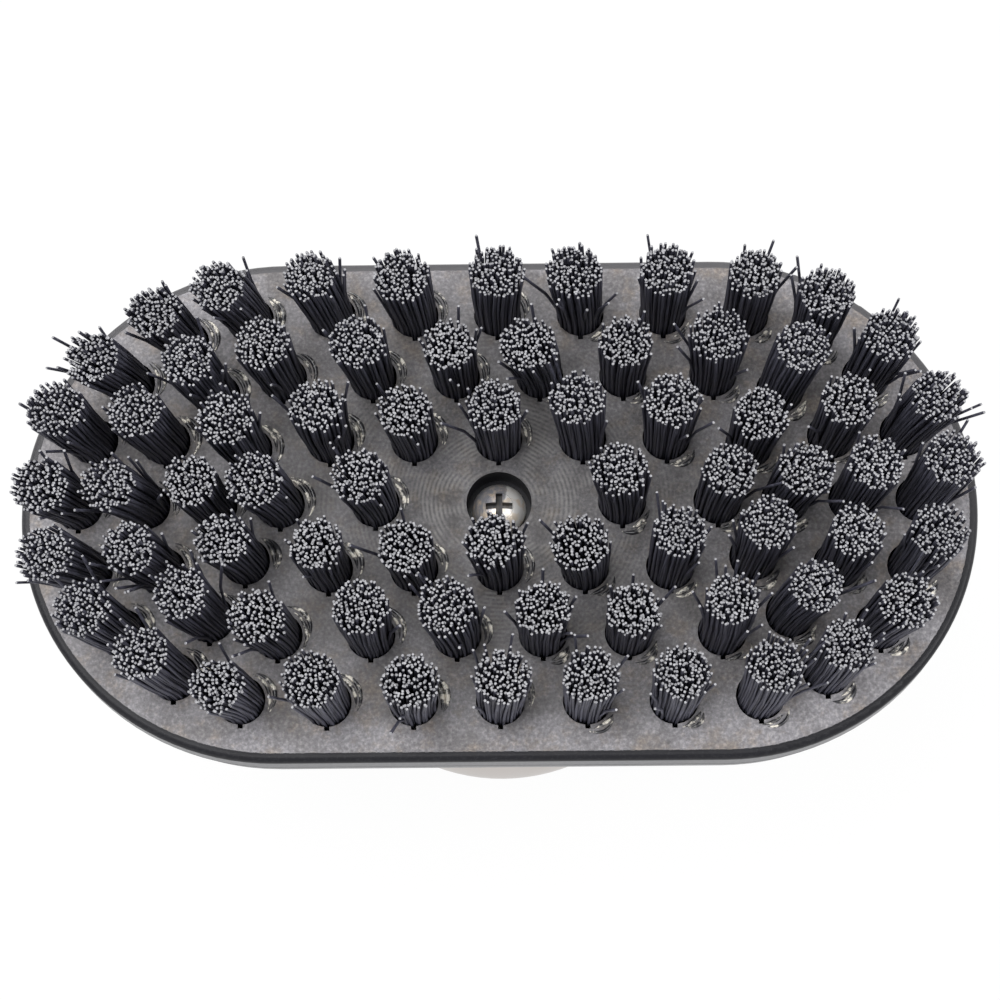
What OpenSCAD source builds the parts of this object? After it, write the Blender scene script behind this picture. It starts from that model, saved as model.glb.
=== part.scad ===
// Vegetable brush with a palm knob: an oblong moulded block, 70 stapled bristle tufts
// that stand in arcs and rows, and a turned metal knob held by one screw through the block.
// The brush stands on the flat end of its knob with the bristles up. X runs along the block,
// Y across it and Z up; the origin is the centre of the knob's end face.

/* [Block] */
// Length of the block
block_length = 99.6; // [90:0.2:125]
// Width of the block
block_width = 54.2; // [50:0.2:64]
// Thickness of the block, bristle face to back
block_thickness = 14; // [12:0.5:20]
// Radius of the soft edge round the bristle face
edge_radius = 0.7; // [0.5:0.1:1.5]
// Depth of the straight side wall below the bristle face
wall_depth = 2.9; // [2.5:0.1:4]
// Depth of the fine step under the side wall, where the mould parts
parting_step = 0.4; // [0.2:0.1:0.8]
// Radius of the rounded back edge
back_radius = 9; // [6:0.5:9.5]

/* [Bristle pattern] */
// Distance from the block's edge to the middle of the outermost tufts
pattern_margin = 6.1; // [5.5:0.1:7]
// Spacing of the tufts along the straight rows
row_pitch = 8.8; // [7:0.1:10]
// Spacing of the tufts along the arcs at the ends
arc_pitch = 7.33; // [6.6:0.01:9]
// Spacing of the tufts on the centre line
centre_pitch = 9.9; // [7:0.1:12]

/* [Tufts] */
// Diameter of each tuft hole
hole_diameter = 5; // [4.6:0.1:5.4]
// Depth of each tuft hole
hole_depth = 8; // [7:0.5:9]
// Length of bristle that stands out of the block
bristle_length = 12.5; // [8:0.5:20]
// Gap between a tuft's root and its hole, all round
root_clearance = 0.1; // [0.05:0.05:0.2]
// Width of one strand across its corners
strand_width = 1.3; // [0.8:0.05:1.4]
// Distance from the edge of a tuft's root to its outer strands
strand_inset = 0.12; // [0.1:0.01:0.16]
// How much wider a tuft is at its tips than at its root, as a ratio
tuft_flare = 1.22; // [1.05:0.01:1.3]
// Outward lean of a tuft at the very end of the block, as a ratio of its length
end_lean = 0.175; // [0:0.005:0.2]
// Greatest difference in length between the strands of a tuft
tip_unevenness = 0.9; // [0:0.1:1.5]

/* [Anchors] */
// Thickness of the flat wire anchor in each hole
anchor_thickness = 0.45; // [0.3:0.05:0.6]
// How far each end of the anchor bites into the wall of its hole
anchor_bite = 0.35; // [0.2:0.05:0.4]
// Height of the anchor
anchor_height = 1.8; // [1.2:0.1:2.4]
// Thickness of the fold of bristle under the anchor
fold_thickness = 1; // [0.8:0.1:1.5]
// Gap between the anchor and what it lies in, on each side
anchor_clearance = 0.04; // [0.02:0.01:0.08]

/* [Screw] */
// Diameter of the screw's domed head
head_diameter = 5.6; // [5:0.1:6]
// Height of the screw's head
head_height = 2.4; // [2:0.1:3]
// Height of the straight rim under the dome of the head
head_rim = 0.7; // [0.4:0.1:1]
// Diameter of the screw's shank
shank_diameter = 3; // [2.5:0.1:3.5]
// Length of the screw under its head
shank_length = 20; // [18:0.5:24]
// Gap all round the screw's head in its counterbore
head_clearance = 0.6; // [0.3:0.1:0.9]
// How far the top of the head lies below the bristle face
head_sink = 0.8; // [0.2:0.1:1.5]
// Gap all round the shank in the block
shank_clearance = 0.2; // [0.1:0.05:0.4]
// Width of one wing of the cross recess in the head
recess_width = 0.7; // [0.5:0.05:0.9]
// Span of the cross recess from wing to wing
recess_span = 2.8; // [2:0.1:3.2]
// Depth of the cross recess
recess_depth = 1.3; // [0.8:0.1:1.5]

/* [Knob] */
// Height of the knob from its end face to the seat in the block
knob_height = 33; // [28:0.5:40]
// Diameter of the knob at its widest
knob_diameter = 44; // [38:0.5:48]
// Radius of the rounding between the flat end face and the widest line
end_rounding = 8; // [6:0.5:9]
// Radius of the rounding between the widest line and the top of the head
shoulder_rounding = 8; // [6:0.5:10]
// Diameter of the neck at its thinnest
neck_diameter = 17; // [14:0.5:18]
// Radius of the fillet where the neck leaves the head
neck_fillet = 4; // [2:0.5:4.5]
// Diameter of the flange that seats against the block
flange_diameter = 23; // [20:0.5:26]
// Thickness of the flange
flange_thickness = 3; // [2:0.5:4]
// Depth of the recess in the block that centres the flange
seat_depth = 1; // [0.6:0.1:1.5]
// Width of the fine ring turned into the end face
ring_width = 1.2; // [0.8:0.1:2]
// Depth of the fine ring
ring_depth = 0.3; // [0.2:0.1:0.5]
// Gap all round the flange in its recess
seat_clearance = 0.15; // [0.1:0.05:0.3]
// Depth of the threaded hole beyond the screw's tip
hole_runout = 2; // [1:0.5:4]

/* [Hidden] */
// The tufts and their anchors are grouped by ring and by side
GROUPS = ["outer_back", "outer_front", "outer_left", "outer_right",
    "middle_back", "middle_front", "middle_left", "middle_right",
    "inner_back", "inner_front", "inner_left", "inner_right",
    "centre_left", "centre_right"];

// A cut runs this far past the face it opens in
overcut = 0.5;
// Smoothness of turned and moulded curves
$fn = 64;

// Heights of the main faces above the floor
back_z = knob_height - seat_depth;
face_z = back_z + block_thickness;
hole_floor_z = face_z - hole_depth;
anchor_z = hole_floor_z + fold_thickness;
anchor_length = hole_diameter + 2 * anchor_bite;

// Sizes of a tuft's root, and where its outer strands stand in it
root_radius = hole_diameter / 2 - root_clearance;
strand_circle = root_radius - strand_inset - strand_width / 2;

// The block's ends are half circles round these centres
end_radius = block_width / 2;
end_x = block_length / 2 - end_radius;

// Half widths of the three rings of tufts, evenly spaced out from the centre line
ring_count = 3;
outer_ring = end_radius - pattern_margin;
ring_pitch = outer_ring / ring_count;
middle_ring = outer_ring - ring_pitch;
inner_ring = middle_ring - ring_pitch;

// Angle between the first and last tuft of each arc
outer_arc_span = 160;
middle_arc_span = 180;
inner_arc_span = 120;

// The screw's counterbore, bore and the knob's threaded hole
head_seat_z = face_z - head_sink - head_height;
counterbore_diameter = head_diameter + 2 * head_clearance;
bore_diameter = shank_diameter + 2 * shank_clearance;
tip_z = head_seat_z - shank_length;
// A screw in its thread is drawn as a close sliding fit
thread_clearance = 0.04;
// Chamfer on the screw's tip
tip_chamfer = 0.5;

// Places of the tufts, each an [x, y]
// A row has a tuft every row_pitch, on the middle line or staggered by half a pitch
function row_xs(stagger) =
    let (shift = stagger ? row_pitch / 2 : 0, room = end_x - row_pitch / 2,
        n = floor((room - shift) / row_pitch))
    stagger
        ? [for (side = [-1, 1], i = [0 : n]) side * (shift + i * row_pitch)]
        : [for (i = [-n : n]) i * row_pitch];
function row(y, stagger) = [for (x = row_xs(stagger)) [x, y]];
function arc(side, radius, span) =
    let (steps = max(1, round(radius * span * PI / 180 / arc_pitch)))
    [for (i = [0 : steps])
        let (angle = span * (i / steps - 0.5))
        [side * (end_x + radius * cos(angle)), radius * sin(angle)]];
// The centre line's tufts leave the screw's counterbore clear
centre_limit = counterbore_diameter / 2 + hole_diameter;
function centre(side) =
    [for (i = [0 : floor((end_x - centre_limit) / centre_pitch)]) [side * (end_x - i * centre_pitch), 0]];

places = [
    row(outer_ring, false), row(-outer_ring, false),
    arc(-1, outer_ring, outer_arc_span), arc(1, outer_ring, outer_arc_span),
    row(middle_ring, true), row(-middle_ring, true),
    arc(-1, middle_ring, middle_arc_span), arc(1, middle_ring, middle_arc_span),
    row(inner_ring, false), row(-inner_ring, false),
    arc(-1, inner_ring, inner_arc_span), arc(1, inner_ring, inner_arc_span),
    centre(-1), centre(1)];

// Outline of the block from its middle line to its edge, drawn as a section through one end
module block_section() {
    step_z = face_z - wall_depth;
    lower_radius = end_radius - parting_step;
    // Side wall with the soft edge at the bristle face
    translate([0, step_z]) square([end_radius, wall_depth - edge_radius]);
    translate([0, step_z]) square([end_radius - edge_radius, wall_depth]);
    translate([end_radius - edge_radius, face_z - edge_radius]) circle(edge_radius);
    // Body under the parting step, rounded into the back
    translate([0, back_z + back_radius]) square([lower_radius, block_thickness - wall_depth - back_radius]);
    translate([0, back_z]) square([lower_radius - back_radius, block_thickness - wall_depth]);
    intersection() {
        translate([lower_radius - back_radius, back_z + back_radius]) circle(back_radius);
        translate([0, back_z]) square([lower_radius, back_radius]);
    }
}

module block_body() {
    for (side = [-1, 1])
        translate([side * end_x, 0, 0]) rotate([0, 0, side * 90 - 180])
            rotate_extrude(angle = 180) block_section();
    for (turn = [0, 180])
        rotate([0, 0, turn]) translate([-end_x, 0, 0]) rotate([90, 0, 90])
            linear_extrude(2 * end_x) block_section();
}

// A blind tuft hole with the two slits that its anchor cuts on the way in
module tuft_hole() {
    slit_width = anchor_thickness + 2 * anchor_clearance;
    slit_length = anchor_length + 2 * anchor_clearance;
    translate([0, 0, hole_floor_z]) cylinder(d = hole_diameter, h = hole_depth + overcut);
    translate([-slit_width / 2, -slit_length / 2, anchor_z])
        cube([slit_width, slit_length, face_z - anchor_z + overcut]);
}

module brush_block() {
    color("#55545a") difference() {
        block_body();
        for (group = places, p = group) translate([p[0], p[1], 0]) tuft_hole();
        translate([0, 0, head_seat_z])
            cylinder(d = counterbore_diameter, h = face_z - head_seat_z + overcut);
        translate([0, 0, back_z]) cylinder(d = bore_diameter, h = head_seat_z - back_z + overcut);
        translate([0, 0, back_z - overcut])
            cylinder(d = flange_diameter + 2 * seat_clearance, h = seat_depth + overcut);
    }
}

// Repeatable scatter between 0 and 1 for one strand of one tuft
function scatter(tuft_index, strand_index) = (1 + sin(1187 * tuft_index + 1091 * strand_index)) / 2;

// One strand: a four sided bar that leans outwards and widens from its foot to its tip
module strand(foot, tip, foot_width, tip_width) {
    sides = 4;
    ring = [for (i = [0 : sides - 1]) [cos(360 * i / sides), sin(360 * i / sides), 0]];
    points = concat([for (c = ring) foot + c * foot_width / 2], [for (c = ring) tip + c * tip_width / 2]);
    walls = [for (i = [0 : sides - 1])
        let (j = (i + 1) % sides) each [[i, i + sides, j], [j, i + sides, j + sides]]];
    ends = [for (i = [1 : sides - 2]) each [[0, i, i + 1], [sides, sides + i + 1, sides + i]]];
    polyhedron(points, concat(walls, ends));
}

// A tuft: its folded root in the hole, with the anchor's slot, and its strands fused to the root
module tuft(p, index) {
    strand_count = 7;
    slot_width = anchor_thickness + 2 * anchor_clearance;
    slot_height = anchor_height + 2 * anchor_clearance;
    root_sides = 12;
    sunk = 0.6;
    translate([p[0], p[1], 0]) union() {
        difference() {
            translate([0, 0, hole_floor_z]) cylinder(r = root_radius, h = hole_depth, $fn = root_sides);
            translate([-slot_width / 2, -hole_diameter, anchor_z - anchor_clearance])
                cube([slot_width, 2 * hole_diameter, slot_height]);
        }
        for (k = [0 : strand_count - 1]) {
            spoke = k == 0 ? [0, 0, 0] : [cos(60 * k), sin(60 * k), 0] * strand_circle;
            length = bristle_length - tip_unevenness * scatter(index, k);
            lean = [end_lean * p[0] / (block_length / 2) * length, 0, length];
            strand(spoke + [0, 0, face_z - sunk], spoke * tuft_flare + lean + [0, 0, face_z],
                strand_width, strand_width * tuft_flare);
        }
    }
}

module anchor(p) {
    translate([p[0] - anchor_thickness / 2, p[1] - anchor_length / 2, anchor_z])
        cube([anchor_thickness, anchor_length, anchor_height]);
}

module tufts(group) {
    color("#26262e") for (i = [0 : len(places[group]) - 1])
        tuft(places[group][i], i + len(places[group]) * group);
}

module anchors(group) {
    color("#b8b4a8") for (p = places[group]) anchor(p);
}

// Screw with a domed head and a cross recess, seated in the counterbore
module knob_screw() {
    dome_rise = head_height - head_rim;
    head_radius = head_diameter / 2;
    dome_radius = (head_radius * head_radius + dome_rise * dome_rise) / (2 * dome_rise);
    color("#c9c7c4") difference() {
        union() {
            translate([0, 0, head_seat_z]) intersection() {
                cylinder(d = head_diameter, h = head_height);
                translate([0, 0, head_height - dome_radius]) sphere(dome_radius);
            }
            translate([0, 0, tip_z + tip_chamfer]) cylinder(d = shank_diameter, h = shank_length - tip_chamfer);
            translate([0, 0, tip_z])
                cylinder(d1 = shank_diameter - 2 * tip_chamfer, d2 = shank_diameter, h = tip_chamfer);
        }
        for (turn = [0, 90])
            translate([0, 0, head_seat_z + head_height - recess_depth]) rotate([0, 0, turn])
                translate([-recess_span / 2, -recess_width / 2, 0])
                    cube([recess_span, recess_width, recess_depth + overcut]);
    }
}

// Section of the knob: flat end, full rounded head, waisted neck and flange
module knob_section() {
    belly = knob_diameter / 2;
    head_top = end_rounding + shoulder_rounding;
    neck = neck_diameter / 2;
    neck_top = knob_height - flange_thickness;
    flange_fillet = flange_diameter / 2 - neck;
    // Head
    translate([belly - end_rounding, end_rounding]) circle(end_rounding);
    square([belly - end_rounding, end_rounding]);
    translate([belly - shoulder_rounding, end_rounding]) circle(shoulder_rounding);
    translate([0, end_rounding]) square([belly - shoulder_rounding, shoulder_rounding]);
    // Neck, with a fillet at each end
    square([neck, knob_height]);
    translate([0, head_top]) difference() {
        square([neck + neck_fillet, neck_fillet]);
        translate([neck + neck_fillet, neck_fillet]) circle(neck_fillet);
    }
    translate([0, neck_top - flange_fillet]) difference() {
        square([neck + flange_fillet, flange_fillet]);
        translate([neck + flange_fillet, 0]) circle(flange_fillet);
    }
    translate([0, neck_top]) square([flange_diameter / 2, flange_thickness]);
}

module palm_knob() {
    end_radius_flat = knob_diameter / 2 - end_rounding;
    ring_outer = end_radius_flat - ring_width;
    thread_diameter = shank_diameter + 2 * thread_clearance;
    color("#cdc9c4") difference() {
        rotate_extrude() knob_section();
        translate([0, 0, tip_z - hole_runout])
            cylinder(d = thread_diameter, h = knob_height - tip_z + hole_runout + overcut);
        translate([0, 0, -overcut]) difference() {
            cylinder(r = ring_outer, h = ring_depth + overcut);
            cylinder(r = ring_outer - ring_width, h = ring_depth + overcut);
        }
    }
}

brush_block();
palm_knob();
knob_screw();
for (i = [0 : len(GROUPS) - 1])
    tufts(i);
for (i = [0 : len(GROUPS) - 1])
    anchors(i);
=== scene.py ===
from math import cos, sin, pi, radians
import bmesh
import bpy
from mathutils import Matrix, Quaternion, Vector


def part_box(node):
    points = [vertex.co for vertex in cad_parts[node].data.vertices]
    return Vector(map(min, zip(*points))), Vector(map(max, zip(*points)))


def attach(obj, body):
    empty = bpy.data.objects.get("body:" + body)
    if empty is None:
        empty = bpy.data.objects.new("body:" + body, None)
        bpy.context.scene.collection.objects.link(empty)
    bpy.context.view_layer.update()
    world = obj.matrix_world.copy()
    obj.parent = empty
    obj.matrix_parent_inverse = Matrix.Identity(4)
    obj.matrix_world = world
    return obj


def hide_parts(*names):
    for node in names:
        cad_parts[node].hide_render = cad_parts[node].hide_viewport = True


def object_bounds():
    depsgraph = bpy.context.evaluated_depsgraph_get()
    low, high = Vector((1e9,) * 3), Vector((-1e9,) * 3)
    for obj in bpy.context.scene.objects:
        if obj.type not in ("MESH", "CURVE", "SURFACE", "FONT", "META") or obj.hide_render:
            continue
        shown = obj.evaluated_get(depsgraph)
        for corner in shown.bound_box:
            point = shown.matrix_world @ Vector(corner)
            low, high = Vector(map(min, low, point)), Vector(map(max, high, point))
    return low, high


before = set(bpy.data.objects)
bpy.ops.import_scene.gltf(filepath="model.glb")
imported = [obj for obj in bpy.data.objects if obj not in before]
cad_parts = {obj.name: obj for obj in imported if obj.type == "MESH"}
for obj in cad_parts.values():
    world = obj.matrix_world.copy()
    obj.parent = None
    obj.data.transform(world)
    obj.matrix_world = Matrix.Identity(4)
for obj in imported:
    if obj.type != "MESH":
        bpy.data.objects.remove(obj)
cadLow, cadHigh = [Vector(corner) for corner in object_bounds()]


class Wire:
    # one socket of a node, which can stand in a sum
    def __init__(self, sheet, socket):
        self.sheet = sheet
        self.socket = socket

    def out(self, name):
        return Wire(self.sheet, self.sheet.pick(self.socket.node.outputs, name))

    def __add__(self, value):
        return self.sheet.sum("ADD", self, value)

    def __radd__(self, value):
        return self.sheet.sum("ADD", value, self)

    def __sub__(self, value):
        return self.sheet.sum("SUBTRACT", self, value)

    def __rsub__(self, value):
        return self.sheet.sum("SUBTRACT", value, self)

    def __mul__(self, value):
        return self.sheet.sum("MULTIPLY", self, value)

    def __rmul__(self, value):
        return self.sheet.sum("MULTIPLY", value, self)

    def __truediv__(self, value):
        return self.sheet.sum("DIVIDE", self, value)

    def __rtruediv__(self, value):
        return self.sheet.sum("DIVIDE", value, self)


class NodeSheet:
    # a node tree that is filled from Python
    def __init__(self, tree):
        self.tree = tree
        tree.nodes.clear()

    def pick(self, sockets, name):
        if isinstance(name, int):
            return sockets[name]
        if name is None:
            return next(s for s in sockets if s.enabled)
        found = next((s for s in sockets if s.enabled and name in (s.identifier, s.name)), None)
        return found or sockets[name]

    def add(self, kind, settings=None, inputs=None):
        node = self.tree.nodes.new(kind)
        for name, value in (settings or {}).items():
            if name == "stops":
                ramp = node.color_ramp
                while len(ramp.elements) < len(value):
                    ramp.elements.new(0.5)
                for element, (place, color) in zip(ramp.elements, value):
                    element.position = place
                    element.color = (*color, 1)
            else:
                setattr(node, name, value)
        for name, value in (inputs or {}).items():
            socket = self.pick(node.inputs, name)
            if isinstance(value, Wire):
                self.tree.links.new(value.socket, socket)
            elif socket.type == "VECTOR" and isinstance(value, (int, float)):
                socket.default_value = (value, value, value)
            elif socket.type == "RGBA" and len(value) == 3:
                socket.default_value = (*value, 1)
            else:
                socket.default_value = value
        return Wire(self, self.pick(node.outputs, None)) if len(node.outputs) else node

    def sum(self, operation, first, second):
        hasVector = any(isinstance(v, tuple) or isinstance(v, Wire) and v.socket.type in ("VECTOR", "RGBA")
                        for v in (first, second))
        kind = "ShaderNodeVectorMath" if hasVector else "ShaderNodeMath"
        return self.add(kind, {"operation": operation}, {0: first, 1: second})

    def math(self, operation, *values):
        return self.add("ShaderNodeMath", {"operation": operation}, dict(enumerate(values)))

    def mix(self, factor, first, second):
        return self.add("ShaderNodeMix", {"data_type": "RGBA"},
                        {"Factor_Float": factor, "A_Color": first, "B_Color": second}).out("Result_Color")

    def ramp(self, value, *stops):
        return self.add("ShaderNodeValToRGB", {"stops": stops}, {"Fac": value}).out("Color")

    def step(self, value, reach, gain):
        return self.add("ShaderNodeMapRange", {"interpolation_type": "SMOOTHSTEP"}, {
            "Value": value, "From Min": reach[0], "From Max": reach[1],
            "To Min": gain[0], "To Max": gain[1]}).out("Result")

    def mask(self, value, low, high):
        return self.ramp(value, (low, (0, 0, 0)), (high, (1, 1, 1)))

    def split(self, place):
        parts = self.add("ShaderNodeSeparateXYZ", None, {0: place})
        return parts.out("X"), parts.out("Y"), parts.out("Z")

    def join(self, x, y, z):
        return self.add("ShaderNodeCombineXYZ", None, {"X": x, "Y": y, "Z": z})

    def noise(self, place, scale, detail=3, rough=0.5):
        return self.add("ShaderNodeTexNoise", {"noise_dimensions": "3D"},
                        {"Vector": place, "Scale": scale, "Detail": detail, "Roughness": rough})


def newFinish(name):
    material = bpy.data.materials.new(name)
    material.use_nodes = True
    return material, NodeSheet(material.node_tree)


def objectPlace(sheet):
    return sheet.add("ShaderNodeTexCoord").out("Object")


def closeFinish(sheet, shader):
    sheet.add("ShaderNodeOutputMaterial", None, {"Surface": shader})


def dress(node, material):
    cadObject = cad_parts[node]
    for slot in cadObject.material_slots:
        slot.material = material
    if not cadObject.material_slots:
        cadObject.data.materials.append(material)


def nodesOf(start):
    return [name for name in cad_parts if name.startswith(start)]


# Each anchor in the frame marks the middle of one tuft
def tuftCentres(anchorNode):
    mesh = bmesh.new()
    mesh.from_mesh(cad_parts[anchorNode].data)
    bmesh.ops.remove_doubles(mesh, verts=mesh.verts, dist=1e-6)     # the frame's triangles are loose
    waiting, centres = set(mesh.verts), []
    while waiting:
        queue, island = [waiting.pop()], []
        while queue:
            vert = queue.pop()
            island.append(vert.co.copy())
            for edge in vert.link_edges:
                other = edge.other_vert(vert)
                if other in waiting:
                    waiting.remove(other)
                    queue.append(other)
        xs, ys = [p.x for p in island], [p.y for p in island]
        centres.append(((min(xs) + max(xs)) / 2, (min(ys) + max(ys)) / 2))
    mesh.free()
    return sorted(centres, key=lambda c: (round(c[0], 5), c[1]))


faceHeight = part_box("brush_block")[1].z
rightSide = 0.002                 # a tuft further along x than this is right of the screw
print("frame read, bristle face at", round(faceHeight * 1000, 2), "mm")


# Grows a piece from points with a node tree and keeps the result as a plain mesh
def grow(name, points, tree, values):
    seedMesh = bpy.data.meshes.new(name)
    seedMesh.from_pydata(points, [], [])
    piece = bpy.data.objects.new(name, seedMesh)
    bpy.context.scene.collection.objects.link(piece)
    modifier = piece.modifiers.new("grow", "NODES")
    modifier.node_group = tree
    for item in tree.interface.items_tree:
        if item.in_out == "INPUT" and item.name in values:
            modifier[item.identifier] = values[item.name]
    graph = bpy.context.evaluated_depsgraph_get()
    grown = bpy.data.meshes.new_from_object(piece.evaluated_get(graph), depsgraph=graph)
    piece.modifiers.clear()
    piece.data = grown
    bpy.data.meshes.remove(seedMesh)
    grown.name = name
    return piece


def newTree(name, inputs):
    tree = bpy.data.node_groups.new(name, "GeometryNodeTree")
    tree.interface.new_socket("Geometry", in_out="INPUT", socket_type="NodeSocketGeometry")
    tree.interface.new_socket("Geometry", in_out="OUTPUT", socket_type="NodeSocketGeometry")
    for label, kind in inputs.items():
        tree.interface.new_socket(label, in_out="INPUT", socket_type="NodeSocket" + kind)
    return tree, NodeSheet(tree)


def keepNamed(sheet, geometry, name, value, kind="FLOAT"):
    return sheet.add("GeometryNodeStoreNamedAttribute", {"data_type": kind, "domain": "POINT"},
                     {"Geometry": geometry, "Name": name, "Value": value})


def readNamed(sheet, name, kind="FLOAT"):
    return sheet.add("GeometryNodeInputNamedAttribute", {"data_type": kind}, {"Name": name})


def chance(sheet, low, high, identity, seed, kind="FLOAT"):
    return sheet.add("FunctionNodeRandomValue", {"data_type": kind},
                     {"Min": low, "Max": high, "ID": identity, "Seed": seed})


# Every point becomes some numbered lines, each with its point's place and number
def strokes(sheet, points, amount, numberName, linePoints):
    position = sheet.add("GeometryNodeInputPosition")
    geometry = keepNamed(sheet, points, "heart", position, "FLOAT_VECTOR")
    geometry = keepNamed(sheet, geometry, "tuft", sheet.add("GeometryNodeInputIndex"), "INT")
    copies = sheet.add("GeometryNodeDuplicateElements", {"domain": "POINT"},
                       {"Geometry": geometry, "Amount": amount})
    geometry = keepNamed(sheet, copies, numberName, copies.out("Duplicate Index"), "INT")
    line = sheet.add("GeometryNodeCurvePrimitiveLine", None, {"Start": (0, 0, 0), "End": (0, 0, 1)})
    line = sheet.add("GeometryNodeResampleCurve", None, {"Curve": line, "Count": linePoints})
    geometry = sheet.add("GeometryNodeInstanceOnPoints", None, {"Points": geometry, "Instance": line})
    return sheet.add("GeometryNodeRealizeInstances", None, {"Geometry": geometry})


def sweep(sheet, curves, width, sides):
    ring = sheet.add("GeometryNodeCurvePrimitiveCircle", None, {"Resolution": sides, "Radius": 1.0})
    return sheet.add("GeometryNodeCurveToMesh", None, {
        "Curve": curves, "Profile Curve": ring, "Scale": width, "Fill Caps": True})


# The settings of a grown piece that start with a capital are inputs of its tree
def treeInputs(settings, *finishes):
    return [name for name in settings if name[0].isupper()] + list(finishes)


# Bristles
bristles = {
    "Filaments": 180,             # in each tuft
    "Root radius": 0.00226,
    "Filament radius": 0.000157,
    "Width spread": 0.07,         # from filament to filament
    "End taper": 0.1,
    "Chamfer start": 0.985,       # where the small chamfer at the cut end starts
    "Foot jitter": 0.00006,
    "Hidden length": 0.003,       # inside the hole
    "Bristle length": 0.0122,
    "Unevenness": 0.05,
    "Tuft shortness": 0.03,       # of the shortest tuft
    "Flare": 1.22,
    "Flare spread": 0.07,         # from tuft to tuft
    "End lean": 0.175,
    "Half length": (cadHigh.x - cadLow.x) / 2,
    "Splay": 0.0002,
    "Tuft sway": 0.0006,
    "Worn turn": 0.014,           # the tips lean round the block's middle, in radians,
    "Worn left": 0.0002,          # and a little to the left and to the front
    "Worn right half": 0.0008,    # further left just right of the screw
    "Worn front": 0.0004,
    "Long share": 0.02,
    "Long surplus": 0.07,
    "Stray share": 0.065,
    "Stray reach": 0.0031,
    "Least swing": 0.3,           # of a stray
    "Seed": 11,
    "seedStep": 20,               # from group to group
    "linePoints": 5,
    "sides": 6,
    "goldenAngle": 2.39996,
    "nearEnd": 0.999,             # past this share of its length a filament's ring is its end
    "streakScale": 4200,
    "speckleScale": 2600,
    "patchScale": 150,
    "darkSide": (0.026, 0.026, 0.040),
    "lightSide": (0.104, 0.104, 0.138),
    "topSide": (0.06, 0.06, 0.078),
    "sideRoughness": 0.40,
    "cutTones": ((0.36, (0.16, 0.16, 0.17)), (0.5, (0.26, 0.26, 0.275)), (0.62, (0.34, 0.34, 0.355))),
    "cutRoughness": 0.5,
}


def bristleSideFinish():
    material, sheet = newFinish("Black nylon")
    place = objectPlace(sheet)
    # painted sheen: lighter streaks along the filaments' sides
    streak = sheet.mask(sheet.noise(place * (1, 1, 0.05), bristles["streakScale"], 2).out("Fac"), 0.36, 0.64)
    height = sheet.split(place)[2]
    rise = sheet.add("ShaderNodeMapRange", {"clamp": True}, {
        "Value": height, "From Min": faceHeight,
        "From Max": faceHeight + bristles["Bristle length"]}).out("Result")
    tone = sheet.mix(streak, bristles["darkSide"], bristles["lightSide"])
    tone = sheet.mix(rise * 0.4, tone, bristles["topSide"])
    shader = sheet.add("ShaderNodeBsdfPrincipled", None, {
        "Base Color": tone, "Roughness": bristles["sideRoughness"] + streak * 0.25, "IOR": 1.53,
        "Specular IOR Level": 0.25})
    closeFinish(sheet, shader)
    return material


def bristleCutFinish():
    material, sheet = newFinish("Cut nylon ends")
    place = objectPlace(sheet)
    speckle = sheet.noise(place, bristles["speckleScale"], 2).out("Fac")
    patch = sheet.noise(place, bristles["patchScale"], 2).out("Fac")
    # painted highlight: the cut ends of the black filaments are light grey
    tone = sheet.ramp(speckle * 0.8 + patch * 0.2, *bristles["cutTones"])
    shader = sheet.add("ShaderNodeBsdfPrincipled", None, {
        "Base Color": tone, "Roughness": bristles["cutRoughness"] + speckle * 0.2, "IOR": 1.5,
        "Specular IOR Level": 0.3})
    closeFinish(sheet, shader)
    return material


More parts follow.
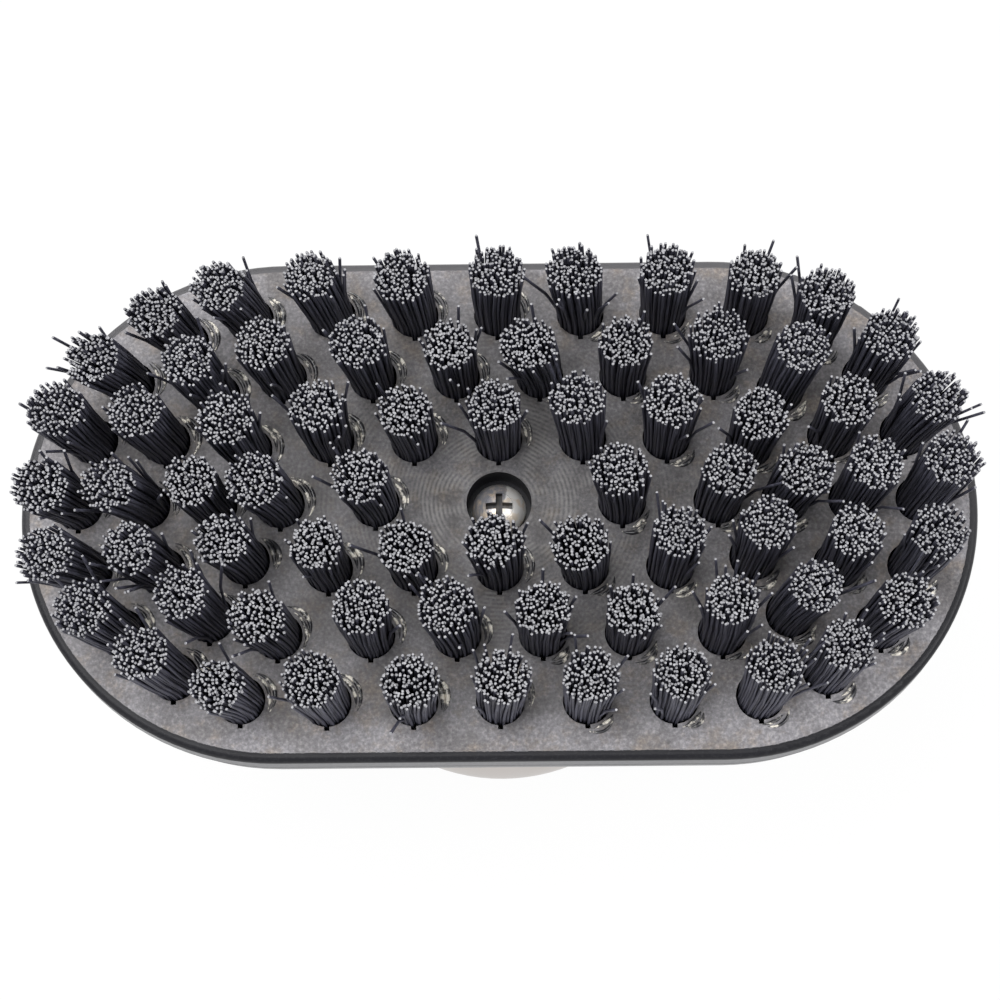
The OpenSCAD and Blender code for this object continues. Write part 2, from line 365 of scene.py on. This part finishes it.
def bristleTree():
    kinds = {"Filaments": "Int", "Seed": "Int", "Side finish": "Material", "Cut finish": "Material"}
    names = treeInputs(bristles, "Side finish", "Cut finish")
    tree, sheet = newTree("Bristle tufts", {name: kinds.get(name, "Float") for name in names})
    given = sheet.add("NodeGroupInput")
    seed, nearEnd = given.out("Seed"), bristles["nearEnd"]
    geometry = strokes(sheet, given.out("Geometry"), given.out("Filaments"), "strand", bristles["linePoints"])

    # the last ring of each filament lies close to its end and makes a small chamfer
    factor = sheet.add("GeometryNodeSplineParameter").out("Factor")
    isEnd = sheet.math("GREATER_THAN", factor, nearEnd)
    chamfer = given.out("Chamfer start")
    lastButOne = (bristles["linePoints"] - 2) / (bristles["linePoints"] - 1)
    along = sheet.math("MINIMUM", factor * (chamfer / lastButOne), chamfer + isEnd * (1 - chamfer))
    geometry = keepNamed(sheet, geometry, "along", along)

    tuft, strand = readNamed(sheet, "tuft", "INT"), readNamed(sheet, "strand", "INT")
    heart, along = readNamed(sheet, "heart", "FLOAT_VECTOR"), readNamed(sheet, "along")
    identity = tuft * 1000 + strand
    heartX, heartY, _ = sheet.split(heart)

    def shift(numbers, shiftSeed):
        return chance(sheet, (-1, -1, 0), (1, 1, 0), numbers, shiftSeed, "FLOAT_VECTOR")

    # sunflower pattern in the hole
    reach = given.out("Root radius") * sheet.math("SQRT", (strand + 0.5) / given.out("Filaments"))
    angle = strand * bristles["goldenAngle"] + chance(sheet, 0.0, 2 * pi, tuft, seed)
    foot = sheet.join(sheet.math("COSINE", angle) * reach, sheet.math("SINE", angle) * reach, 0.0)
    foot = foot + shift(identity, seed + 1) * given.out("Foot jitter")

    shortness = chance(sheet, 0.0, 1.0, identity, seed + 2)
    tuftShort = chance(sheet, 0.0, given.out("Tuft shortness"), tuft, seed + 9)
    isLong = sheet.math("LESS_THAN", chance(sheet, 0.0, 1.0, identity, seed + 8), given.out("Long share"))
    length = given.out("Bristle length") * (1 + isLong * given.out("Long surplus")
                                            - shortness * shortness * given.out("Unevenness") - tuftShort)
    height = along * (length + given.out("Hidden length")) - given.out("Hidden length")
    share = sheet.math("MAXIMUM", height / length, 0)
    bend = share * share

    # splay, sway of the whole tuft, lean towards the block's end, and a few strays
    splay = shift(identity, seed + 3) * given.out("Splay")
    sway = shift(tuft, seed + 4) * given.out("Tuft sway")
    isStray = sheet.math("LESS_THAN", chance(sheet, 0.0, 1.0, identity, seed + 5), given.out("Stray share"))
    swing = chance(sheet, given.out("Least swing"), 1.0, identity, seed + 6)
    drift = swing * swing * swing * isStray * given.out("Stray reach")
    outward = foot / given.out("Root radius")
    endward = heartX / given.out("Half length")
    isRight = sheet.math("GREATER_THAN", heartX, rightSide)
    lean = sheet.join(endward * given.out("End lean") * length
                      - heartY * given.out("Worn turn") - given.out("Worn left")
                      - (1 - endward) * isRight * given.out("Worn right half"),
                      heartX * given.out("Worn turn") - given.out("Worn front"), 0.0)
    flare = given.out("Flare") - 1 + chance(sheet, -1.0, 1.0, tuft, seed + 10) * given.out("Flare spread")
    place = (heart + foot + foot * (flare * share) + lean * share
             + (splay + sway + outward * drift) * bend * (1, 1, 0) + sheet.join(0.0, 0.0, height))
    geometry = sheet.add("GeometryNodeSetPosition", None, {"Geometry": geometry, "Position": place})

    isEnd = sheet.math("GREATER_THAN", along, nearEnd)
    spread = given.out("Width spread")
    width = (given.out("Filament radius") * chance(sheet, 1 - spread, 1 + spread, identity, seed + 7)
             * (1 - isEnd * given.out("End taper")))
    geometry = sweep(sheet, geometry, width, bristles["sides"])

    # smooth sides, flat cut ends with a finish of their own
    isCap = sheet.math("GREATER_THAN", readNamed(sheet, "along"), nearEnd)
    isFoot = sheet.math("LESS_THAN", readNamed(sheet, "along"), 1 - nearEnd)
    flatEnds = sheet.math("MAXIMUM", isCap, isFoot)
    geometry = sheet.add("GeometryNodeSetShadeSmooth", {"domain": "FACE"}, {
        "Geometry": geometry, "Shade Smooth": 1 - flatEnds})
    geometry = sheet.add("GeometryNodeRealizeInstances", None, {"Geometry": geometry})
    geometry = sheet.add("GeometryNodeSetMaterial", None, {
        "Geometry": geometry, "Material": given.out("Side finish")})
    geometry = sheet.add("GeometryNodeSetMaterial", None, {
        "Geometry": geometry, "Selection": isCap, "Material": given.out("Cut finish")})
    sheet.add("NodeGroupOutput", None, {"Geometry": geometry})
    return tree


def makeBristles():
    tree = bristleTree()
    finishes = {"Side finish": bristleSideFinish(), "Cut finish": bristleCutFinish()}
    for number, tuftNode in enumerate(nodesOf("tufts_")):
        group = tuftNode.replace("tufts_", "")
        points = [(x, y, faceHeight) for x, y in tuftCentres("anchors_" + group)]
        values = {**bristles, **finishes, "Seed": bristles["Seed"] + bristles["seedStep"] * number}
        piece = grow("bristles_" + group, points, tree, values)
        for attribute in [a.name for a in piece.data.attributes if a.name in ("heart", "tuft", "strand")]:
            piece.data.attributes.remove(piece.data.attributes[attribute])
        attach(piece, "root")
        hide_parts(tuftNode)
        print(piece.name, len(points), "tufts,", len(piece.data.polygons), "faces")


makeBristles()


# Block
block = {
    "tone": (0.190, 0.184, 0.196),
    "darkTone": (0.105, 0.099, 0.101),
    "warmTone": (0.182, 0.152, 0.127),
    "rimTone": (0.006, 0.006, 0.009),
    "backRimTone": (0.085, 0.083, 0.088),
    "rimWidth": 0.00095,
    "rimJitter": 0.0003,
    "backReach": (-0.5, 0.9),     # the painted rim turns from its dark front tone to its lighter back tone, in end radii
    "sideGrainTone": (0.2, 0.2, 0.21),
    "wallTone": (0.115, 0.115, 0.125),
    "footTone": (0.02, 0.02, 0.024),
    "footDrop": 0.0025,           # where the wall's dark foot starts
    "footHeight": 0.0008,
    "holeTone": (0.008, 0.008, 0.011),
    "roughness": 0.46,
    "grainScale": 2700,
    "cloudScale": 150,
    "stainScale": 330,
    "grainHeight": 0.00003,
    "faceSlack": 0.00004,
    "edgeRadius": 0.0007,
    "holeDepth": 0.0081,
    "holeMargin": 0.0012,         # no hole is nearer to the block's outline
    "turnedReach": 0.026,         # how far the turning arcs reach from the screw
    "turnedPitch": 0.00046,
    "turnedTone": (0.36, 0.35, 0.34),
    "turnedWobble": 0.0012,
    "wobbleScale": 90,
    "brokenScale": 420,
    "ringReach": (0.006, 0.034),  # painted shade: the tone is darker in the middle of the face and rises to its edge
    "ringGain": (0.76, 1.48),
}


def blockFinish():
    material, sheet = newFinish("Dark grey moulded plastic")
    place = objectPlace(sheet)
    x, y, z = sheet.split(place)
    grain = sheet.noise(place, block["grainScale"], 3, 0.7).out("Fac")
    cloud = sheet.noise(place, block["cloudScale"], 4, 0.6).out("Fac")
    stain = sheet.noise(place + (0.3, 0.1, 0.0), block["stainScale"], 5, 0.75).out("Fac")
    tone = sheet.mix(sheet.mask(cloud, 0.36, 0.6), block["darkTone"], block["tone"])
    tone = sheet.mix(sheet.mask(stain, 0.5, 0.66) * 0.6, tone, block["warmTone"])
    speckle = sheet.ramp(grain, (0.3, (0.62, 0.62, 0.62)), (0.52, (1, 1, 1)), (0.7, (1.55, 1.55, 1.5)))
    # painted shade and light: the face is darker in its middle and lighter towards its edge
    gain = sheet.step(sheet.math("SQRT", x * x * 0.5 + y * y), block["ringReach"], block["ringGain"])
    tone = tone * speckle * gain

    # arcs turned round the screw, broken up and fading out along the face
    spread = sheet.math("SQRT", x * x + y * y)
    wobble = sheet.noise(place, block["wobbleScale"], 2).out("Fac") * block["turnedWobble"]
    arcs = sheet.math("SINE", (spread + wobble) * (2 * pi / block["turnedPitch"])) * 0.5 + 0.5
    broken = sheet.mask(sheet.noise(place + (0.0, 0.7, 0.0), block["brokenScale"], 3).out("Fac"), 0.42, 0.6)
    fade = sheet.math("MAXIMUM", 1 - spread / block["turnedReach"], 0) * broken
    tone = sheet.mix(arcs * fade * 0.5, tone, block["turnedTone"])

    # painted light and shade: a smoother rim, near black at the front and lighter at the back, and a darker
    # side wall; painted shade near black inside the holes
    isBelow = sheet.math("LESS_THAN", z, faceHeight - block["faceSlack"])
    isWall = sheet.math("LESS_THAN", z, faceHeight - block["edgeRadius"])
    halfLength, endRadius = (cadHigh.x - cadLow.x) / 2, (cadHigh.y - cadLow.y) / 2
    pastEnd = sheet.math("MAXIMUM", sheet.math("ABSOLUTE", x) - (halfLength - endRadius), 0)
    fromMiddle = sheet.math("SQRT", pastEnd * pastEnd + y * y)
    isInside = (sheet.math("LESS_THAN", fromMiddle, endRadius - block["holeMargin"]) * isBelow
                * sheet.math("GREATER_THAN", z, faceHeight - block["holeDepth"]))
    isRim = sheet.math("MAXIMUM", isBelow, sheet.math(
        "GREATER_THAN", fromMiddle + (grain - 0.5) * block["rimJitter"], endRadius - block["rimWidth"]))
    # painted light and shade: the rim goes from near black at the front to lighter grey at the back, and the
    # wall gets a flat darker tone of its own
    paintedRimLight = sheet.step(y, [endRadius * share for share in block["backReach"]], (0, 1))
    rim = sheet.mix(paintedRimLight, block["rimTone"], block["backRimTone"])
    side = sheet.mix(isWall, rim, block["wallTone"])
    isFoot = (sheet.math("LESS_THAN", z, faceHeight - block["footDrop"])
              * sheet.math("GREATER_THAN", z, faceHeight - block["footDrop"] - block["footHeight"]))
    side = sheet.mix(isFoot, side, block["footTone"])
    side = sheet.mix((grain - 0.5) * 0.3, side, block["sideGrainTone"])
    tone = sheet.mix(isRim, tone, side)
    # painted shade: near black inside the holes
    tone = sheet.mix(isInside, tone, block["holeTone"])
    bump = sheet.add("ShaderNodeBump", None, {
        "Strength": 0.6, "Distance": block["grainHeight"],
        "Height": grain * (1 - isBelow * 0.7) + arcs * fade * 0.4 + cloud * 0.8})
    shader = sheet.add("ShaderNodeBsdfPrincipled", None, {
        "Base Color": tone, "Roughness": block["roughness"] + (grain - 0.5) * 0.25 - isBelow * 0.12,
        "IOR": 1.5, "Specular IOR Level": 0.25, "Normal": bump})
    closeFinish(sheet, shader)
    return material


dress("brush_block", blockFinish())
print("block dressed")


# Lips of plastic that the stapling tool raised beside each tuft
lips = {
    "Ridges": 2,                  # beside each tuft
    "Radius": 0.00295,
    "Ridge step": 0.0006,
    "Thickness": 0.00027,
    "Span": 1.75,                 # radians
    "Left turn": 0.42,            # where the lips lie on the left and the right half of the block
    "Right turn": -0.95,
    "Turn jitter": 0.22,
    "Least span": 0.7,
    "Right loss": 0.4,            # of the span
    "Waist": 0.35,                # share of the step that two ridges keep at their ends
    "Thin end": 0.12,
    "Least width": 0.6,
    "Most width": 1.15,
    "Rise": 0.00012,
    "Sink": 0.00004,
    "Seed": 5,
    "linePoints": 13,
    "sides": 8,
    "shineScale": 1000,
    "tones": ((0.44, (0.03, 0.03, 0.035)), (0.53, (0.17, 0.165, 0.16)), (0.6, (0.92, 0.87, 0.77))),
    "roughness": 0.14,
}


def lipFinish():
    material, sheet = newFinish("Glossy raised plastic")
    place = objectPlace(sheet)
    paintedShine = sheet.noise(place, lips["shineScale"], 3, 0.6).out("Fac")
    # painted highlights in cream and painted dark outlines, spread by noise over the ridges
    tone = sheet.ramp(paintedShine, *lips["tones"])
    shader = sheet.add("ShaderNodeBsdfPrincipled", None, {
        "Base Color": tone, "Roughness": lips["roughness"] + paintedShine * 0.1, "IOR": 1.5})
    closeFinish(sheet, shader)
    return material


def lipTree():
    kinds = {"Ridges": "Int", "Seed": "Int", "Finish": "Material"}
    names = treeInputs(lips, "Finish")
    tree, sheet = newTree("Tuft lips", {name: kinds.get(name, "Float") for name in names})
    given = sheet.add("NodeGroupInput")
    seed = given.out("Seed")
    geometry = strokes(sheet, given.out("Geometry"), given.out("Ridges"), "ridge", lips["linePoints"])
    geometry = keepNamed(sheet, geometry, "along", sheet.add("GeometryNodeSplineParameter").out("Factor"))

    tuft, ridge = readNamed(sheet, "tuft", "INT"), readNamed(sheet, "ridge", "INT")
    heart, along = readNamed(sheet, "heart", "FLOAT_VECTOR"), readNamed(sheet, "along")
    isRight = sheet.math("GREATER_THAN", sheet.split(heart)[0], rightSide)
    number = tuft * 7 + ridge
    turn = given.out("Left turn") + isRight * (given.out("Right turn") - given.out("Left turn"))
    span = (given.out("Span") * chance(sheet, given.out("Least span"), 1.0, number, seed)
            * (1 - isRight * given.out("Right loss")))
    jitter = given.out("Turn jitter")
    angle = turn + chance(sheet, 0 - jitter, jitter, number, seed + 1) + (along - 0.5) * span
    bulge = sheet.math("SINE", along * pi)
    waist, thinEnd = given.out("Waist"), given.out("Thin end")
    radius = given.out("Radius") + ridge * given.out("Ridge step") * (waist + bulge * (1 - waist))
    place = heart + sheet.join(sheet.math("COSINE", angle) * radius, sheet.math("SINE", angle) * radius,
                               bulge * given.out("Rise") - given.out("Sink"))
    geometry = sheet.add("GeometryNodeSetPosition", None, {"Geometry": geometry, "Position": place})
    width = (given.out("Thickness") * (thinEnd + bulge * (1 - thinEnd))
             * chance(sheet, given.out("Least width"), given.out("Most width"), number, seed + 2))
    geometry = sweep(sheet, geometry, width, lips["sides"])
    geometry = sheet.add("GeometryNodeSetShadeSmooth", {"domain": "FACE"}, {
        "Geometry": geometry, "Shade Smooth": True})
    geometry = sheet.add("GeometryNodeRealizeInstances", None, {"Geometry": geometry})
    geometry = sheet.add("GeometryNodeSetMaterial", None, {
        "Geometry": geometry, "Material": given.out("Finish")})
    sheet.add("NodeGroupOutput", None, {"Geometry": geometry})
    return tree


def makeLips():
    points = [(x, y, faceHeight) for anchorNode in nodesOf("anchors_") for x, y in tuftCentres(anchorNode)]
    piece = grow("tuft_lips", points, lipTree(), {**lips, "Finish": lipFinish()})
    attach(piece, "root")
    print(piece.name, len(piece.data.polygons), "faces")


makeLips()


# Knob, screw and anchors
knob = {
    "tone": (0.54, 0.505, 0.485),
    "lineTone": (0.62, 0.59, 0.565),
    "lineScale": 3800,
    "handlingScale": 130,
    "roughness": 0.36,
}


def knobFinish():
    material, sheet = newFinish("Satin turned metal")
    place = objectPlace(sheet)
    x, y, z = sheet.split(place)
    spread = sheet.math("SQRT", x * x + y * y)
    lines = sheet.noise(sheet.join(spread, z, 0.0), knob["lineScale"], 3, 0.7).out("Fac")
    handling = sheet.noise(place, knob["handlingScale"], 3).out("Fac")
    tone = sheet.mix(lines * 0.35 + handling * 0.3, knob["tone"], knob["lineTone"])
    bump = sheet.add("ShaderNodeBump", None, {"Strength": 0.3, "Distance": 0.00001, "Height": lines})
    shader = sheet.add("ShaderNodeBsdfPrincipled", None, {
        "Base Color": tone, "Metallic": 1.0,
        "Roughness": knob["roughness"] + (lines - 0.5) * 0.2, "Normal": bump})
    closeFinish(sheet, shader)
    return material


screw = {
    "greyTone": (0.30, 0.30, 0.33),
    "streakTone": (0.62, 0.54, 0.46),
    "brightTone": (0.97, 0.95, 0.92),
    "burnished": 0.0004,          # painted reflection: brighter from here to the right
    "warmTone": (0.80, 0.64, 0.46),
    "recessTone": (0.02, 0.02, 0.022),
    "recessTop": 0.00116,         # below the bristle face
    "recessReach": 0.00148,
    "cloudScale": 700,
    "patchScale": 950,
    "scratchScale": 2400,
    "streakScale": 2300,
    "roughness": 0.38,
}


def screwFinish():
    material, sheet = newFinish("Polished plated steel")
    place = objectPlace(sheet)
    x, y, z = sheet.split(place)
    cloud = sheet.noise(place, screw["cloudScale"], 4, 0.6).out("Fac")
    patch = sheet.noise(place + (0.0, 0.02, 0.5), screw["patchScale"], 3, 0.5).out("Fac")
    scratch = sheet.noise(place * (1, 6, 1), screw["scratchScale"], 4, 0.7).out("Fac")
    streak = sheet.noise(place * (1, 0.2, 1), screw["streakScale"], 3, 0.6).out("Fac")
    tone = sheet.mix(sheet.mask(streak, 0.46, 0.62) * 0.7, screw["greyTone"], screw["streakTone"])
    # painted reflection: the head turns near white towards its right
    paintedShine = sheet.mask((x - y * 0.19 - screw["burnished"]) * 1500 + cloud, 0.42, 0.62)
    tone = sheet.mix(paintedShine, tone, screw["brightTone"])
    tone = sheet.mix(sheet.mask(patch - y * 40, 0.5, 0.62) * 0.6, tone, screw["warmTone"])
    # painted shade: near black in the slot's recess
    inRecess = (sheet.math("LESS_THAN", z, faceHeight - screw["recessTop"])
                * sheet.math("LESS_THAN", sheet.math("SQRT", x * x + y * y), screw["recessReach"]))
    tone = sheet.mix(inRecess * 0.85, tone, screw["recessTone"])
    bump = sheet.add("ShaderNodeBump", None, {"Strength": 0.25, "Distance": 0.00001, "Height": scratch})
    shader = sheet.add("ShaderNodeBsdfPrincipled", None, {
        "Base Color": tone, "Metallic": 0.5 - inRecess * 0.3,
        "Roughness": screw["roughness"] + (scratch - 0.5) * 0.14 + inRecess * 0.2, "Normal": bump})
    closeFinish(sheet, shader)
    return material


wire = {
    "darkTone": (0.48, 0.45, 0.38),
    "lightTone": (0.66, 0.63, 0.56),
    "drawScale": 9000,
    "roughness": 0.3,
}


def wireFinish():
    material, sheet = newFinish("Drawn flat wire")
    place = objectPlace(sheet)
    draw = sheet.noise(place * (1, 0.1, 1), wire["drawScale"], 3).out("Fac")
    tone = sheet.mix(draw, wire["darkTone"], wire["lightTone"])
    shader = sheet.add("ShaderNodeBsdfPrincipled", None, {
        "Base Color": tone, "Metallic": 1.0, "Roughness": wire["roughness"] + draw * 0.2})
    closeFinish(sheet, shader)
    return material


dress("palm_knob", knobFinish())
dress("knob_screw", screwFinish())
drawnWire = wireFinish()
for anchorNode in nodesOf("anchors_"):
    dress(anchorNode, drawnWire)
print("metal dressed")


# Floor, light and camera
studio = {
    "floorSize": 3.0,
    "ownWhite": 0.95,             # how much of the floor's white comes without the lamps
    "floorTone": (0.95, 0.95, 0.95),
    "worldReach": (-0.6, 0.6),    # the sky's light rises from the front to the back
    "worldLight": (0.56, 0.76),
    "lamps": {                    # place, size and power
        "soft box": ((-0.24, 0.06, 0.74), (0.7, 0.5), 5.6),
        "side light": ((0.42, -0.05, 0.5), (0.28, 0.3), 1.4),
    },
    "lampAim": (0, 0, 0.04),
    "elevation": 73.0,
    "distance": 0.240,
    "turn": -1.2,
    "roll": -1.7,
    "lens": 83.06,
    "shift": (0.001, 0.003),
}


# Rays that see the plain white background instead of the light on it
def seenRays(sheet):
    path = sheet.add("ShaderNodeLightPath")
    return sheet.math("MINIMUM", path.out("Is Camera Ray") + path.out("Is Glossy Ray")
                      + path.out("Is Transmission Ray"), 1)


def makeFloor():
    mesh = bpy.data.meshes.new("floor")
    half = studio["floorSize"] / 2
    corners = [(-half, -half, 0), (half, -half, 0), (half, half, 0), (-half, half, 0)]
    mesh.from_pydata(corners, [], [(0, 1, 2, 3)])
    floor = bpy.data.objects.new("floor", mesh)
    bpy.context.scene.collection.objects.link(floor)
    material, sheet = newFinish("Pale studio floor")
    seen = seenRays(sheet)
    card = sheet.add("ShaderNodeBsdfDiffuse", None, {"Color": studio["floorTone"]})
    white = sheet.add("ShaderNodeEmission", None, {"Color": (1, 1, 1), "Strength": 1.0})
    closeFinish(sheet, sheet.add("ShaderNodeMixShader", None, {
        0: seen * studio["ownWhite"], 1: card, 2: white}))
    mesh.materials.append(material)


def makeWorld():
    world = bpy.data.worlds.new("Studio")
    bpy.context.scene.world = world
    world.use_nodes = True
    sheet = NodeSheet(world.node_tree)
    seen = seenRays(sheet)
    x, y, _ = sheet.split(sheet.add("ShaderNodeTexCoord").out("Generated"))
    strength = sheet.step(x * 0.3 + y, studio["worldReach"], studio["worldLight"])
    soft = sheet.add("ShaderNodeBackground", None, {"Color": (1, 1, 1), "Strength": strength})
    white = sheet.add("ShaderNodeBackground", None, {"Color": (1, 1, 1), "Strength": 1.0})
    blend = sheet.add("ShaderNodeMixShader", None, {0: seen, 1: soft, 2: white})
    sheet.add("ShaderNodeOutputWorld", None, {"Surface": blend})


def makeLamp(name, place, size, power):
    lamp = bpy.data.lights.new(name, "AREA")
    lamp.shape = "RECTANGLE"
    lamp.size, lamp.size_y = size
    lamp.energy = power
    holder = bpy.data.objects.new(name, lamp)
    bpy.context.scene.collection.objects.link(holder)
    holder.location = place
    aim = Vector(studio["lampAim"]) - Vector(place)
    holder.rotation_euler = aim.to_track_quat("-Z", "Y").to_euler()


def makeCamera():
    target = Vector((0, 0, faceHeight))
    tilt, turn = radians(studio["elevation"]), radians(-studio["turn"])
    flat = studio["distance"] * cos(tilt)
    place = target + Vector((flat * sin(turn), -flat * cos(turn), studio["distance"] * sin(tilt)))
    data = bpy.data.cameras.new("camera")
    data.lens = studio["lens"]
    data.sensor_width = 36
    data.shift_x, data.shift_y = studio["shift"]
    data.clip_start = 0.01
    camera = bpy.data.objects.new("camera", data)
    bpy.context.scene.collection.objects.link(camera)
    camera.location = place
    camera.rotation_mode = "QUATERNION"
    camera.rotation_quaternion = ((target - place).to_track_quat("-Z", "Y")
                                  @ Quaternion((0, 0, 1), radians(studio["roll"])))
    bpy.context.scene.camera = camera


makeFloor()
makeWorld()
for lampName, (place, size, power) in studio["lamps"].items():
    makeLamp(lampName, place, size, power)
makeCamera()
bpy.context.scene.view_settings.view_transform = "Standard"
print("studio ready")
